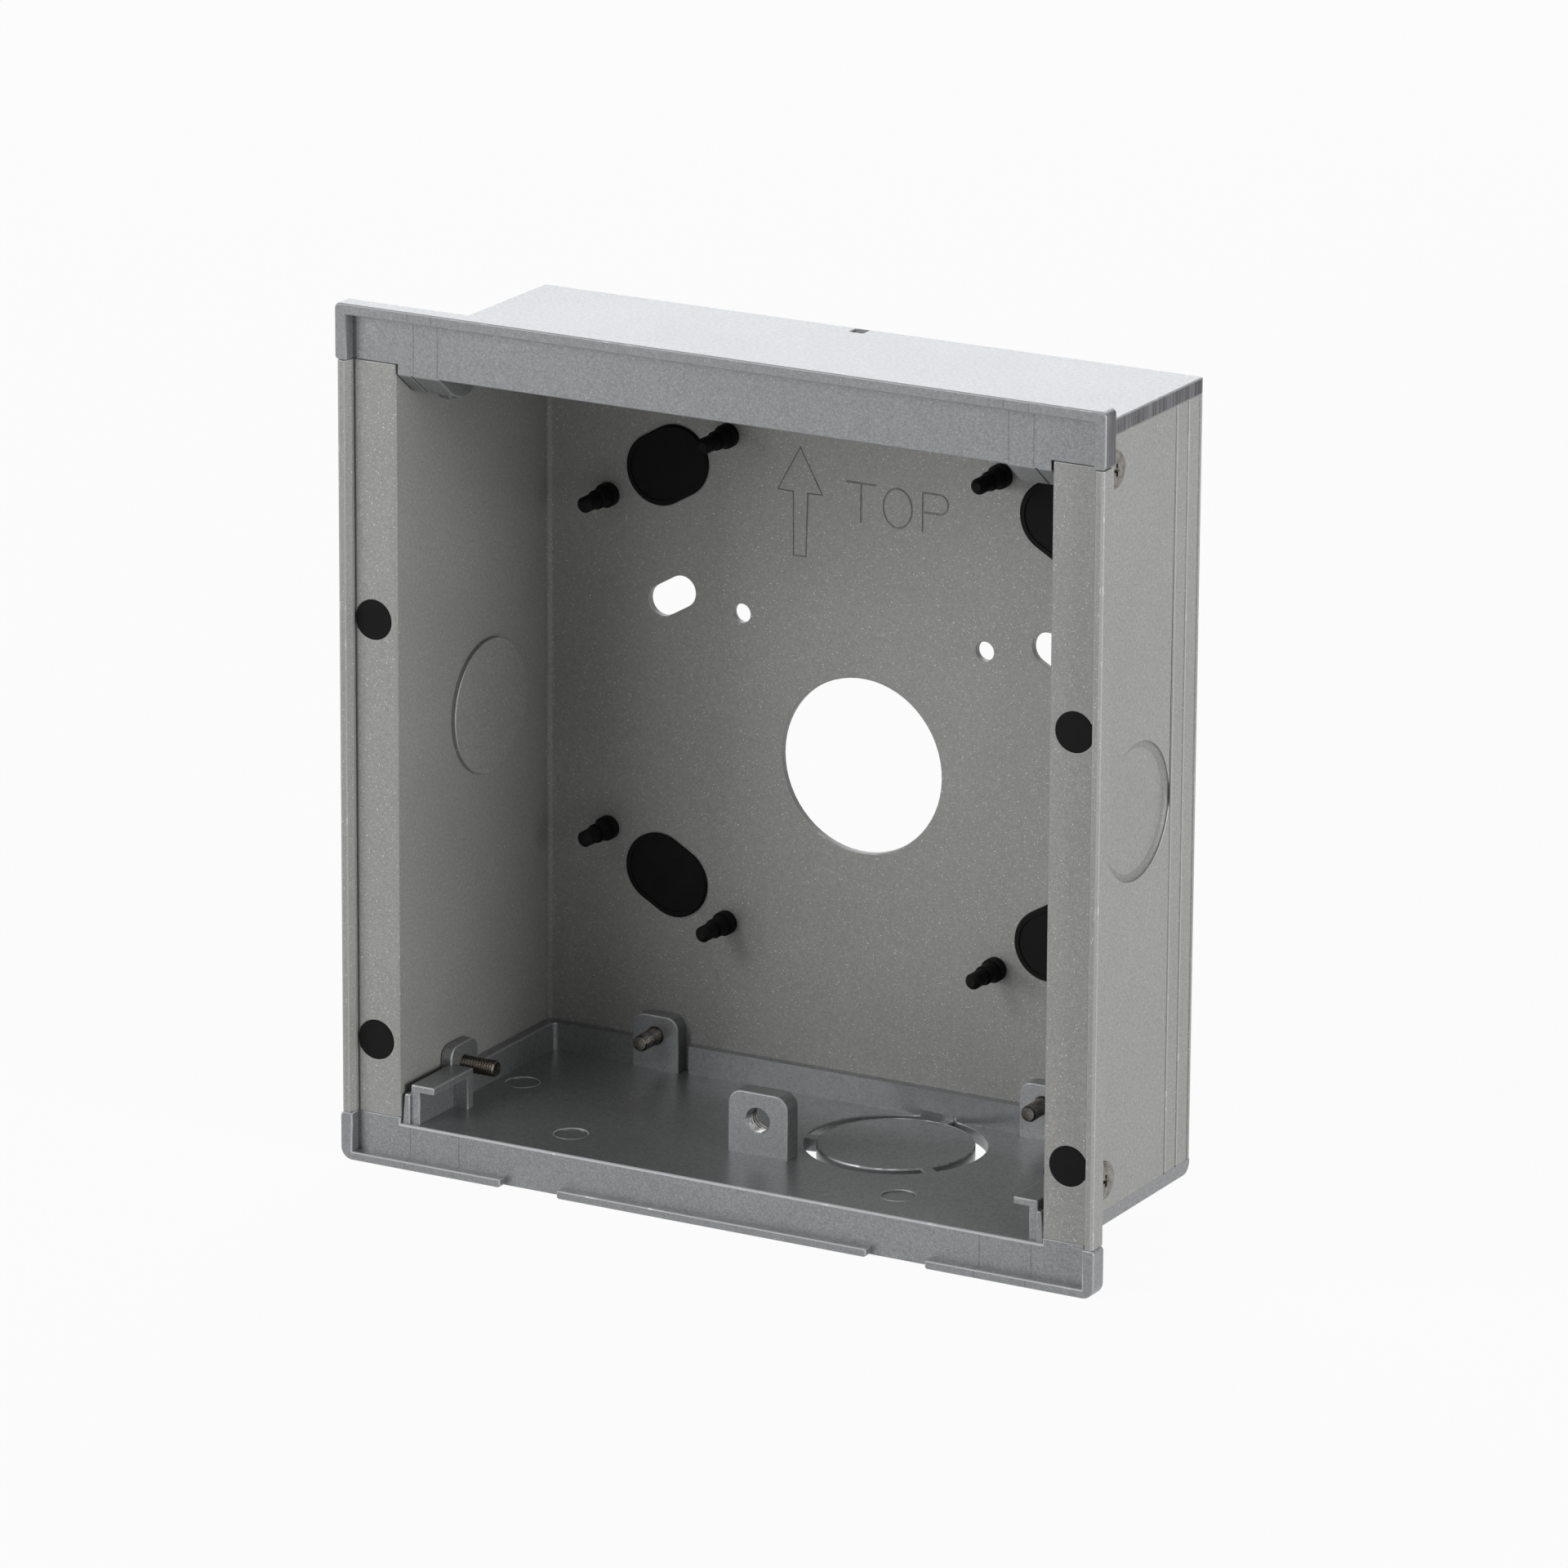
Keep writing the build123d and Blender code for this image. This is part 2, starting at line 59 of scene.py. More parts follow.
# Clean-up of a CAD piece: merged doubles in millimetres, joined flat faces in degrees
MERGE_DISTANCE = 0.001
FLAT_ANGLE = 0.3

# Edge rounding of the three large pieces, in millimetres, with its angles in degrees
EXTRUSION_EDGE = 0.14
CAP_FRONT_EDGE = 0.26
CAP_INNER_EDGE = 0.24
CAP_FRONT_DEPTH = 4.5
SILL_EDGE = 0.42
SILL_DEPTH = 3.0
ROOM_SHARE = 0.4
SIDEWAYS = 0.77
SHARP_ANGLE = 32.0
SMOOTH_ANGLE = 16.0

# Marking on the back wall: lines pressed with a round tool, in millimetres
MARK_RADIUS = 0.22
MARK_DEPTH = 0.13
ARROW = [(-12.65, 48.2), (-8.2, 40.1), (-11.1, 40.0), (-11.4, 28.45),
         (-13.9, 28.45), (-14.0, 40.0), (-17.1, 40.1)]
LETTER_TOP = 43.3
LETTER_FOOT = 36.2
LETTER_T = (-3.4, 2.5)
LETTER_O = (4.0, 9.7)
LETTER_P = (11.8, 16.85)

# Corners, as x and z, of the area round the marking in which no edge is rounded
MARK_LOW = (-19.1, 26.2)
MARK_HIGH = (18.85, 50.2)

# How far the oval plugs stand in front of the back wall, in millimetres
PLUG_LIP = 0.7

# Screws, in millimetres; CREST, SHARE, ROUNDING, FLAT, REACH and TAPER are shares of another size
THREAD_PITCH = 0.56
THREAD_DEPTH = 0.24
THREAD_CREST = 0.3
THREAD_DIAMETER = 3.0
TIP_LENGTH = 0.4
TIP_SHARE = 0.8
SIDE_HEAD_HEIGHT = 1.3
SIDE_HEAD_ROUNDING = 0.35
SIDE_HEAD_FLAT = 0.45
SIDE_HEAD_FOOT = 0.1
REAR_HEAD_LAND = 0.15
REAR_HEAD_EDGE = 0.06
RECESS_WIDTH = 0.75
RECESS_DEPTH = 0.9
RECESS_REACH = (0.4, 1.1)
RECESS_TAPER = 0.7
SCREW_SMOOTH_ANGLE = 30
ROD_SIDES = 32
ROD_RINGS_PER_TURN = 8.0

# Thread cut in the upright tab of the bottom cap, in millimetres
TAB_THREAD_PLACE = (-0.8, 16.0, -63.9)
TAB_THREAD_DIAMETER = 4.9
TAB_THREAD_DEPTH = 0.5
TAB_THREAD_PITCH = 0.7
TAB_THREAD_LENGTH = 9.0
TAB_THREAD_TIP = 0.01

# Faces of the box, in millimetres from the drawing's origin, like all places below
TOP_FACE = 70.7
FLOOR_TOP = -70.3
WALL_OUTER = 65.3
WALL_INNER = 64.0
BACK_INNER = 53.8
REAR_TAB_FRONT = 50.9

# Notch in the rear edge of the top plate: how far the solid's one reaches, and what the casting has
NOTCH_HALF = 1.35
NOTCH_FRONT = 52.0
NOTCH_BELOW = 1.9
NOTCH_SHIFT = 1.0
NOTCH_DEPTH = 0.85
NOTCH_WALL = (54.8, 55.15)
NOTCH_WALL_FOOT = 1.0

# Thin upright lines on the front bands, by their distances from the middle
MOULD_LINE_HALF = 0.10
MOULD_LINE_DEEPEST = 2.4
TOP_MOULD_LINES = (60.4, 55.6)
BOTTOM_MOULD_LINES = (61.9, 51.9)

# Top cap: how far out its machined ends lie at least, and the least side of its large top face
TOP_CAP_END = 58.9
TOP_FACE_LEAST = 20.0

# Lips on the floor beside the side walls and in front of the back wall
SIDE_LIP_FRONT = 25.0
SIDE_LIP_INNER = 61.8
SIDE_LIP_HEIGHT = 5.1
REAR_LIP_FRONT = 52.0
LIP_FILLET = 1.0
LIP_INTO_FLOOR = 0.5
LIP_INTO_WALL = 0.1

# Shallow round marks of the floor: middle in the solid and in the casting
FLOOR_MARK_RADIUS = 3.1
FLOOR_MARKS = [((-56.3, 32.0), (-57.0, 32.8)), ((56.3, 32.0), (56.3, 32.8)),
               ((-32.0, 14.0), (-35.1, 12.5)), ((32.0, 14.0), (30.7, 12.1))]

# Raised line round each mark and on the rim of the floor's knock-out: heights, and places across it
FLOOR_KNOCKOUT = (17.1, 36.2)
FLOOR_KNOCKOUT_RIM = 13.82
MARK_BURR = 0.04
RIM_BURR = 0.08
BURR_SINK = 0.1
BURR_FOOT = (-0.12, 0.18)
BURR_CREST = 0.04
RING_STEPS = 96

# Pressed knock-out of each side wall
KNOCKOUT_PLACE = (32.5, -1.0)
KNOCKOUT_RADIUS = 12.3
KNOCKOUT_STEP = 0.9
KNOCKOUT_SLOPE = 1.5

# Parts of the extrusion painted darker as painted shade, by their distance inward from the outside
GROOVE_FROM = 0.02
GROOVE_TO = 0.8
CORNER_REACH = 3.0
CORNER_FROM = 1.0
KNOCKOUT_TO = 3.0

# Material slots: of all three large pieces, of the extrusion, of the top cap, of the bottom cap
EDGE_SLOT = 1
GROOVE_SLOT, CORNER_SLOT, SLOPE_SLOT = 3, 4, 5
END_SLOT, TOP_FACE_SLOT = 2, 3
BURR_SLOT, TAB_SLOT = 2, 3


def place(x, y, z):
    """Point of the drawing, in millimetres, as a point of the frame in metres."""
    return DRAWING + Vector((x, y, z)) * MM


# The camera

def look_from():
    """Camera at the place from which the box is seen."""
    turn, pitch, roll = (radians(a) for a in (CAMERA_TURN, CAMERA_PITCH, CAMERA_ROLL))
    ahead = Vector((-sin(turn) * cos(pitch), cos(turn) * cos(pitch), -sin(pitch)))
    right = Vector((cos(turn), sin(turn), 0))
    up = right.cross(ahead)
    across = cos(roll) * right + sin(roll) * up
    over = -sin(roll) * right + cos(roll) * up
    data = bpy.data.cameras.new("camera")
    data.lens = CAMERA_FOCAL * SENSOR_WIDTH / PICTURE_WIDTH
    data.sensor_width = SENSOR_WIDTH
    data.clip_start = 0.1
    data.clip_end = 20
    camera = bpy.data.objects.new("camera", data)
    turned_axes = Matrix((across, over, -ahead)).transposed().to_4x4()
    camera.matrix_world = Matrix.Translation(place(*CAMERA_PLACE)) @ turned_axes
    bpy.context.scene.collection.objects.link(camera)
    bpy.context.scene.camera = camera


# Materials

def new_material(name):
    """Empty node material with its node tree and its shader."""
    material = bpy.data.materials.new(name)
    material.use_nodes = True
    tree = material.node_tree
    return material, tree, tree.nodes["Principled BSDF"]


def own_coordinates(tree, stretch=(1, 1, 1)):
    """The piece's object coordinates, stretched."""
    coords = tree.nodes.new("ShaderNodeTexCoord")
    mapping = tree.nodes.new("ShaderNodeMapping")
    mapping.inputs["Scale"].default_value = stretch
    tree.links.new(coords.outputs["Object"], mapping.inputs["Vector"])
    return mapping.outputs["Vector"]


def noise(tree, coords, scale, detail=3.0, roughness=0.55):
    """Noise texture on the piece's own coordinates."""
    made = tree.nodes.new("ShaderNodeTexNoise")
    made.inputs["Scale"].default_value = scale
    made.inputs["Detail"].default_value = detail
    made.inputs["Roughness"].default_value = roughness
    tree.links.new(coords, made.inputs["Vector"])
    return made.outputs["Fac"]


def span(tree, value, low, high, to_low=0.0, to_high=1.0):
    """Map a value from one range to another, held at both ends."""
    made = tree.nodes.new("ShaderNodeMapRange")
    ends = (("From Min", low), ("From Max", high), ("To Min", to_low), ("To Max", to_high))
    for name, number in ends:
        made.inputs[name].default_value = number
    tree.links.new(value, made.inputs["Value"])
    return made.outputs["Result"]


def calculate(tree, operation, first, second=None):
    """Math node on sockets or numbers."""
    made = tree.nodes.new("ShaderNodeMath")
    made.operation = operation
    for socket, value in zip(made.inputs, (first, second)):
        if value is None:
            continue
        if isinstance(value, (int, float)):
            socket.default_value = value
        else:
            tree.links.new(value, socket)
    return made.outputs[0]


def blend_colours(tree, factor, first, second):
    """Mix two colours, each a tuple or a socket, by a socket."""
    made = tree.nodes.new("ShaderNodeMix")
    made.data_type = "RGBA"
    tree.links.new(factor, made.inputs["Factor"])
    for name, colour in (("A", first), ("B", second)):
        socket = [s for s in made.inputs if s.name == name and s.type == "RGBA"][0]
        if isinstance(colour, tuple):
            socket.default_value = (*colour, 1.0)
        else:
            tree.links.new(colour, socket)
    return [s for s in made.outputs if s.type == "RGBA"][0]


def bump(tree, shader, height, strength, distance):
    """Bump on the shader from a height; distance is in metres."""
    made = tree.nodes.new("ShaderNodeBump")
    made.inputs["Strength"].default_value = strength
    made.inputs["Distance"].default_value = distance
    tree.links.new(height, made.inputs["Height"])
    tree.links.new(made.outputs["Normal"], shader.inputs["Normal"])


def tinted(colour, share):
    """The colour made lighter or darker by a share."""
    return tuple(min(1.0, c * share) for c in colour)


def mould_lines(tree, places):
    """Mask of thin upright lines on the front of a band, at distances from the middle."""
    coords = tree.nodes.new("ShaderNodeTexCoord")
    split = tree.nodes.new("ShaderNodeSeparateXYZ")
    tree.links.new(coords.outputs["Object"], split.inputs[0])
    aside = calculate(tree, "ABSOLUTE", split.outputs["X"])
    mask = None
    for x in places:
        off = calculate(tree, "ABSOLUTE", calculate(tree, "SUBTRACT", aside, x * MM))
        line = calculate(tree, "LESS_THAN", off, MOULD_LINE_HALF * MM)
        mask = line if mask is None else calculate(tree, "MAXIMUM", mask, line)
    deepest = place(0, MOULD_LINE_DEEPEST, 0).y
    in_front = calculate(tree, "LESS_THAN", split.outputs["Y"], deepest)
    return calculate(tree, "MULTIPLY", mask, in_front)


def silver_paint(name, colour, rough, metal, sparkle=1.0, speckle=0.5, lines=()):
    """Silver metallic paint: soft clouds, fine grain, single bright flakes, and any mould lines."""
    material, tree, shader = new_material(name)
    coords = own_coordinates(tree)
    clouds = noise(tree, coords, 55, 3)
    grain = noise(tree, coords, 1500, 3, 0.6)
    fine = noise(tree, coords, 5000, 1, 0.5)
    flakes = noise(tree, coords, 4300, 0, 0.5)
    layers = [(grain, 0.34, 0.66, speckle, 0.68), (fine, 0.5, 0.75, speckle, 1.45),
              (flakes, 0.755, 0.80, sparkle, 2.6)]
    if lines:
        layers.append((mould_lines(tree, lines), 0, 1, 0.5, 0.35))
    cloudy = span(tree, clouds, 0.35, 0.65)
    base = blend_colours(tree, cloudy, tinted(colour, 0.965), tinted(colour, 1.035))
    for layer, low, high, most, share in layers:
        base = blend_colours(tree, span(tree, layer, low, high, 0, most), base, tinted(colour, share))
    tree.links.new(base, shader.inputs["Base Color"])
    roughness = span(tree, grain, 0.3, 0.7, rough - 0.05, rough + 0.07)
    tree.links.new(roughness, shader.inputs["Roughness"])
    shader.inputs["Metallic"].default_value = metal
    bump(tree, shader, grain, 0.35, 0.00003)
    return material


def worn_edge_with_painted_highlight(name, paint, bare, share):
    """Edge on which the paint has thinned and bare metal shows in patches, lighter overall than the
    paint beside it as a painted highlight along the edge.
    """
    material, tree, shader = new_material(name)
    coords = own_coordinates(tree)
    patches = noise(tree, coords, 300, 4, 0.7)
    scratch = noise(tree, coords, 2400, 3, 0.6)
    bareness = span(tree, patches, 0.72 - share, 0.84 - share)
    base = blend_colours(tree, bareness, paint, bare)
    base = blend_colours(tree, span(tree, scratch, 0.45, 0.75, 0, 0.35), base, tinted(bare, 0.5))
    tree.links.new(base, shader.inputs["Base Color"])
    tree.links.new(span(tree, bareness, 0, 1, 0.55, 0.35), shader.inputs["Roughness"])
    shader.inputs["Metallic"].default_value = 0.6
    bump(tree, shader, scratch, 0.4, 0.00003)
    return material


def brushed_cut(name, colour):
    """Machined end of a casting: darker bare metal with fine upright brushing."""
    material, tree, shader = new_material(name)
    strokes = noise(tree, own_coordinates(tree, (1, 1, 0.02)), 1500, 4, 0.65)
    clouds = noise(tree, own_coordinates(tree), 160, 3)
    bright = span(tree, strokes, 0.36, 0.64)
    base = blend_colours(tree, bright, tinted(colour, 0.4), tinted(colour, 2.0))
    base = blend_colours(tree, span(tree, clouds, 0.4, 0.7, 0, 0.4), base, tinted(colour, 0.7))
    tree.links.new(base, shader.inputs["Base Color"])
    tree.links.new(span(tree, strokes, 0.3, 0.7, 0.3, 0.48), shader.inputs["Roughness"])
    shader.inputs["Metallic"].default_value = 0.85
    bump(tree, shader, strokes, 0.5, 0.00005)
    return material


def shaded_pressed_line(colour):
    """Bottom of the lines of the marking, darker than the paint as painted shade in the pressed
    lines, mottled.
    """
    material, tree, shader = new_material("shaded_pressed_line")
    painted_shade = noise(tree, own_coordinates(tree), 900, 3)
    shade_mottle = span(tree, painted_shade, 0.35, 0.65)
    # painted shade: half to three quarters as light as the paint beside it
    base = blend_colours(tree, shade_mottle, tinted(colour, 0.5), tinted(colour, 0.75))
    tree.links.new(base, shader.inputs["Base Color"])
    tree.links.new(span(tree, painted_shade, 0.3, 0.7, 0.5, 0.65), shader.inputs["Roughness"])
    shader.inputs["Metallic"].default_value = 0.3
    bump(tree, shader, painted_shade, 0.2, 0.00003)
    return material


def plug_rubber():
    """Matt black rubber with a slight bloom."""
    material, tree, shader = new_material("plug_rubber")
    coords = own_coordinates(tree)
    bloom = noise(tree, coords, 260, 4)
    grain = noise(tree, coords, 3000, 2)
    pale = span(tree, bloom, 0.4, 0.7)
    base = blend_colours(tree, pale, (0.004, 0.004, 0.004), (0.008, 0.008, 0.008))
    tree.links.new(base, shader.inputs["Base Color"])
    tree.links.new(span(tree, bloom, 0.3, 0.7, 0.55, 0.7), shader.inputs["Roughness"])
    shader.inputs["Specular IOR Level"].default_value = 0.1
    bump(tree, shader, grain, 0.2, 0.00003)
    return material


def screw_steel(name, dark, light):
    """Steel between two tones, with slight stains, and painted shade in the grooves of a thread."""
    material, tree, shader = new_material(name)
    coords = own_coordinates(tree)
    stain = noise(tree, coords, 700, 3)
    grain = noise(tree, coords, 4000, 2)
    base = blend_colours(tree, span(tree, stain, 0.35, 0.65), dark, light)
    groove = tree.nodes.new("ShaderNodeAttribute")
    groove.attribute_name = "groove"
    # painted shade: the deeper part of each thread groove turns dark brown
    painted_shade = span(tree, groove.outputs["Fac"], 0.4, 0.85)
    base = blend_colours(tree, painted_shade, base, (0.045, 0.034, 0.024))
    tree.links.new(base, shader.inputs["Base Color"])
    tree.links.new(span(tree, grain, 0.3, 0.7, 0.22, 0.36), shader.inputs["Roughness"])
    shader.inputs["Metallic"].default_value = 1.0
    bump(tree, shader, grain, 0.15, 0.00002)
    return material


# Making pieces

def add_object(name, data):
    """New object at the origin with that mesh or curve."""
    made = bpy.data.objects.new(name, data)
    bpy.context.scene.collection.objects.link(made)
    return made


def plain_mesh(obj):
    """The object's shape, with its modifiers, as a plain mesh."""
    bpy.context.view_layer.update()
    graph = bpy.context.evaluated_depsgraph_get()
    return bpy.data.meshes.new_from_object(obj.evaluated_get(graph), depsgraph=graph)


def settle(piece):
    """Turn the piece's modifiers into its own mesh."""
    mesh = plain_mesh(piece)
    piece.modifiers.clear()
    piece.data = mesh


def stand_for(piece, node_name):
    """Let the piece take the place of its CAD node."""
    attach(piece, "root")
    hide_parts(node_name)


def copy_of(node_name, name, materials):
    """Copy of a CAD piece with its doubles merged and its flat faces joined."""
    form = bmesh.new()
    form.from_mesh(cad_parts[node_name].data)
    bmesh.ops.remove_doubles(form, verts=form.verts, dist=MERGE_DISTANCE * MM)
    flat = radians(FLAT_ANGLE)
    bmesh.ops.dissolve_limit(form, angle_limit=flat, verts=form.verts, edges=form.edges)
    mesh = bpy.data.meshes.new(name)
    form.to_mesh(mesh)
    form.free()
    for material in materials:
        mesh.materials.append(material)
    return add_object(name, mesh)


def cut_out(piece, tool_mesh):
    """Take the tool's shape out of the piece, with the tool's own material on the cut."""
    tool = add_object("cutter", tool_mesh)
    change = piece.modifiers.new("cut", "BOOLEAN")
    change.operation = "DIFFERENCE"
    change.object = tool
    change.solver = "EXACT"
    change.use_self = True
    change.material_mode = "TRANSFER"
    settle(piece)
    bpy.data.objects.remove(tool)


def smooth_faces(mesh, angle):
    """Smooth shading, broken at edges sharper than the angle in degrees."""
    for face in mesh.polygons:
        face.use_smooth = True
    mesh.set_sharp_from_angle(angle=radians(angle))


def room_beside(edge):
    """Length of the shortest edge that leaves either end of this one at a cosine under SIDEWAYS."""
    room = 1.0
    for vert in edge.verts:
        along = (edge.other_vert(vert).co - vert.co).normalized()
        for other in vert.link_edges:
            away = (other.other_vert(vert).co - vert.co).normalized()
            if other is not edge and abs(along.dot(away)) < SIDEWAYS:
                room = min(room, other.calc_length())
    return room


def round_edges(piece, widest, width_at):
    """Round the sharp edges, each by width_at(middle) or less, in the edge's own material."""
    form = bmesh.new()
    form.from_mesh(piece.data)
    weight = form.edges.layers.float.new("bevel_weight_edge")
    for face in form.faces:
        face.smooth = True
    for edge in form.edges:
        edge.smooth = len(edge.link_faces) == 2 and edge.calc_face_angle(0) < radians(SMOOTH_ANGLE)
        if edge.is_convex and edge.calc_face_angle(0) > radians(SHARP_ANGLE):
            a, b = edge.verts
            wanted = width_at((a.co + b.co) / 2) / widest
            edge[weight] = min(wanted, ROOM_SHARE * room_beside(edge) / (widest * MM))
    form.to_mesh(piece.data)
    form.free()
    change = piece.modifiers.new("edges", "BEVEL")
    change.limit_method = "WEIGHT"
    change.width = widest * MM
    change.segments = 2
    change.use_clamp_overlap = False
    change.material = EDGE_SLOT
    change = piece.modifiers.new("normals", "WEIGHTED_NORMAL")
    change.mode = "FACE_AREA"
    change.weight = 90
    change.keep_sharp = True
    settle(piece)


def turned(profile, steps=48):
    """Mesh turned round the Z axis from (radius, height) points; a radius of 0 closes an end."""
    form = bmesh.new()
    around = [tau * i / steps for i in range(steps)]
    rings = []
    for radius, height in profile:
        if radius == 0:
            rings.append([form.verts.new((0, 0, height))] * steps)
            continue
        rings.append([form.verts.new((radius * cos(a), radius * sin(a), height)) for a in around])
    for low, high in zip(rings, rings[1:]):
        for i in range(steps):
            j = (i + 1) % steps
            corners = []
            for vert in (low[i], low[j], high[j], high[i]):
                if vert not in corners:
                    corners.append(vert)
            form.faces.new(corners)
    bmesh.ops.remove_doubles(form, verts=form.verts, dist=0.0001 * MM)
    bmesh.ops.recalc_face_normals(form, faces=form.faces)
    mesh = bpy.data.meshes.new("turned")
    form.to_mesh(mesh)
    form.free()
    return mesh


# The marking

def bow(middle, half_width, half_height, last, steps):
    """Points on an ellipse, from its top round by the right as far as the angle last."""
    angles = [last * i / steps for i in range(steps + 1)]
    return [(middle[0] + half_width * sin(a), middle[1] + half_height * cos(a)) for a in angles]


def marking_lines(material):
    """Mesh of the arrow and of the word that show which way up the box goes."""
    data = bpy.data.curves.new("marking", "CURVE")
    data.dimensions = "3D"
    data.bevel_depth = MARK_RADIUS * MM
    data.bevel_resolution = 2
    data.use_fill_caps = True
    middle_z = (LETTER_TOP + LETTER_FOOT) / 2
    o_middle = (sum(LETTER_O) / 2, middle_z)
    o_ring = bow(o_middle, (LETTER_O[1] - LETTER_O[0]) / 2, LETTER_TOP - middle_z, tau, 24)[:-1]
    bowl = (LETTER_TOP - LETTER_FOOT) / 4
    bowl_turn = bow((LETTER_P[1] - bowl, LETTER_TOP - bowl), bowl, bowl, pi, 10)
    t_middle = sum(LETTER_T) / 2
    lines = (
        (ARROW, True),
        ([(LETTER_T[0], LETTER_TOP), (LETTER_T[1], LETTER_TOP)], False),
        ([(t_middle, LETTER_TOP), (t_middle, LETTER_FOOT)], False),
        (o_ring, True),
        ([(LETTER_P[0], LETTER_FOOT), (LETTER_P[0], LETTER_TOP)], False),
        ([(LETTER_P[0], LETTER_TOP)] + bowl_turn + [(LETTER_P[0], LETTER_TOP - 2 * bowl)], False),
    )
    wall_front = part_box("cable_plug_top_left")[0].y + PLUG_LIP * MM
    for points, closed in lines:
        spline = data.splines.new("POLY")
        spline.points.add(len(points) - 1)
        for point, (x, z) in zip(spline.points, points):
            spot = place(x, 0, z)
            point.co = (spot.x, wall_front - (MARK_RADIUS - MARK_DEPTH) * MM, spot.z, 1)
        spline.use_cyclic_u = closed
    curve = add_object("marking", data)
    mesh = plain_mesh(curve)
    bpy.data.objects.remove(curve)
    mesh.materials.append(material)
    return mesh


# Screws and threads

def thread_tree():
    """Nodes that make a threaded rod down from the origin, with its helix set point by point."""
    tree = bpy.data.node_groups.new("threaded_rod", "GeometryNodeTree")
    sizes = (("Diameter", THREAD_DIAMETER), ("Pitch", THREAD_PITCH), ("Depth", THREAD_DEPTH),
             ("Length", 10.0), ("Tip", TIP_LENGTH))
    for name, value in sizes:
        socket = tree.interface.new_socket(name, in_out="INPUT", socket_type="NodeSocketFloat")
        socket.default_value = value * MM
    crest = tree.interface.new_socket("Crest", in_out="INPUT", socket_type="NodeSocketFloat")
    crest.default_value = THREAD_CREST
    tree.interface.new_socket("Material", in_out="INPUT", socket_type="NodeSocketMaterial")
    tree.interface.new_socket("Geometry", in_out="OUTPUT", socket_type="NodeSocketGeometry")
    given = tree.nodes.new("NodeGroupInput").outputs
    link = tree.links.new

    rod = tree.nodes.new("GeometryNodeMeshCylinder")
    rod.inputs["Vertices"].default_value = ROD_SIDES
    rod.inputs["Radius"].default_value = 1.0
    turns = calculate(tree, "DIVIDE", given["Length"], given["Pitch"])
    link(calculate(tree, "MULTIPLY", turns, ROD_RINGS_PER_TURN), rod.inputs["Side Segments"])
    link(given["Length"], rod.inputs["Depth"])

    here = tree.nodes.new("GeometryNodeInputPosition")
    split = tree.nodes.new("ShaderNodeSeparateXYZ")
    link(here.outputs[0], split.inputs[0])
    angle = calculate(tree, "ARCTAN2", split.outputs["Y"], split.outputs["X"])
    turn = calculate(tree, "DIVIDE", angle, tau)
    climb = calculate(tree, "DIVIDE", split.outputs["Z"], given["Pitch"])
    wave = calculate(tree, "PINGPONG", calculate(tree, "ADD", climb, turn), 0.5)
    below = calculate(tree, "SUBTRACT", calculate(tree, "MULTIPLY", wave, 2.0), given["Crest"])
    below = calculate(tree, "MAXIMUM", below, 0.0)
    sunk = calculate(tree, "MULTIPLY", below, given["Depth"])
    outer = calculate(tree, "MULTIPLY", given["Diameter"], 0.5)
    radius = calculate(tree, "SUBTRACT", outer, sunk)

    half = calculate(tree, "MULTIPLY", given["Length"], 0.5)
    above_tip = calculate(tree, "ADD", split.outputs["Z"], half)
    full = calculate(tree, "MINIMUM", calculate(tree, "DIVIDE", above_tip, given["Tip"]), 1.0)
    tip_radius = calculate(tree, "MULTIPLY", outer, TIP_SHARE)
    room = calculate(tree, "MULTIPLY", full, calculate(tree, "SUBTRACT", outer, tip_radius))
    radius = calculate(tree, "MINIMUM", radius, calculate(tree, "ADD", tip_radius, room))

    spot = tree.nodes.new("ShaderNodeCombineXYZ")
    link(calculate(tree, "MULTIPLY", calculate(tree, "COSINE", angle), radius), spot.inputs["X"])
    link(calculate(tree, "MULTIPLY", calculate(tree, "SINE", angle), radius), spot.inputs["Y"])
    link(calculate(tree, "SUBTRACT", split.outputs["Z"], half), spot.inputs["Z"])
    moved = tree.nodes.new("GeometryNodeSetPosition")
    link(rod.outputs["Mesh"], moved.inputs["Geometry"])
    link(spot.outputs[0], moved.inputs["Position"])

    # depth of each point in the thread's groove, which the steel's material turns into painted shade
    depth_note = tree.nodes.new("GeometryNodeStoreNamedAttribute")
    depth_note.data_type = "FLOAT"
    depth_note.domain = "POINT"
    depth_note.inputs["Name"].default_value = "groove"
    link(moved.outputs[0], depth_note.inputs["Geometry"])
    link(calculate(tree, "MULTIPLY", wave, 2.0), depth_note.inputs["Value"])

    plain = tree.nodes.new("GeometryNodeRealizeInstances")
    link(depth_note.outputs[0], plain.inputs[0])
    coat = tree.nodes.new("GeometryNodeSetMaterial")
    link(plain.outputs[0], coat.inputs["Geometry"])
    link(given["Material"], coat.inputs["Material"])
    out = tree.nodes.new("NodeGroupOutput")
    link(coat.outputs[0], out.inputs["Geometry"])
    return tree


def threaded_rod(tree, material, **sizes):
    """Plain mesh of a threaded rod, with its sizes in millimetres where they aren't a screw's."""
    rod = add_object("rod", bpy.data.meshes.new("rod"))
    change = rod.modifiers.new("thread", "NODES")
    change.node_group = tree
    for item in tree.interface.items_tree:
        if item.name in sizes:
            change[item.identifier] = sizes[item.name] * MM
        if item.name == "Material":
            change[item.identifier] = material
    mesh = plain_mesh(rod)
    bpy.data.objects.remove(rod)
    return mesh


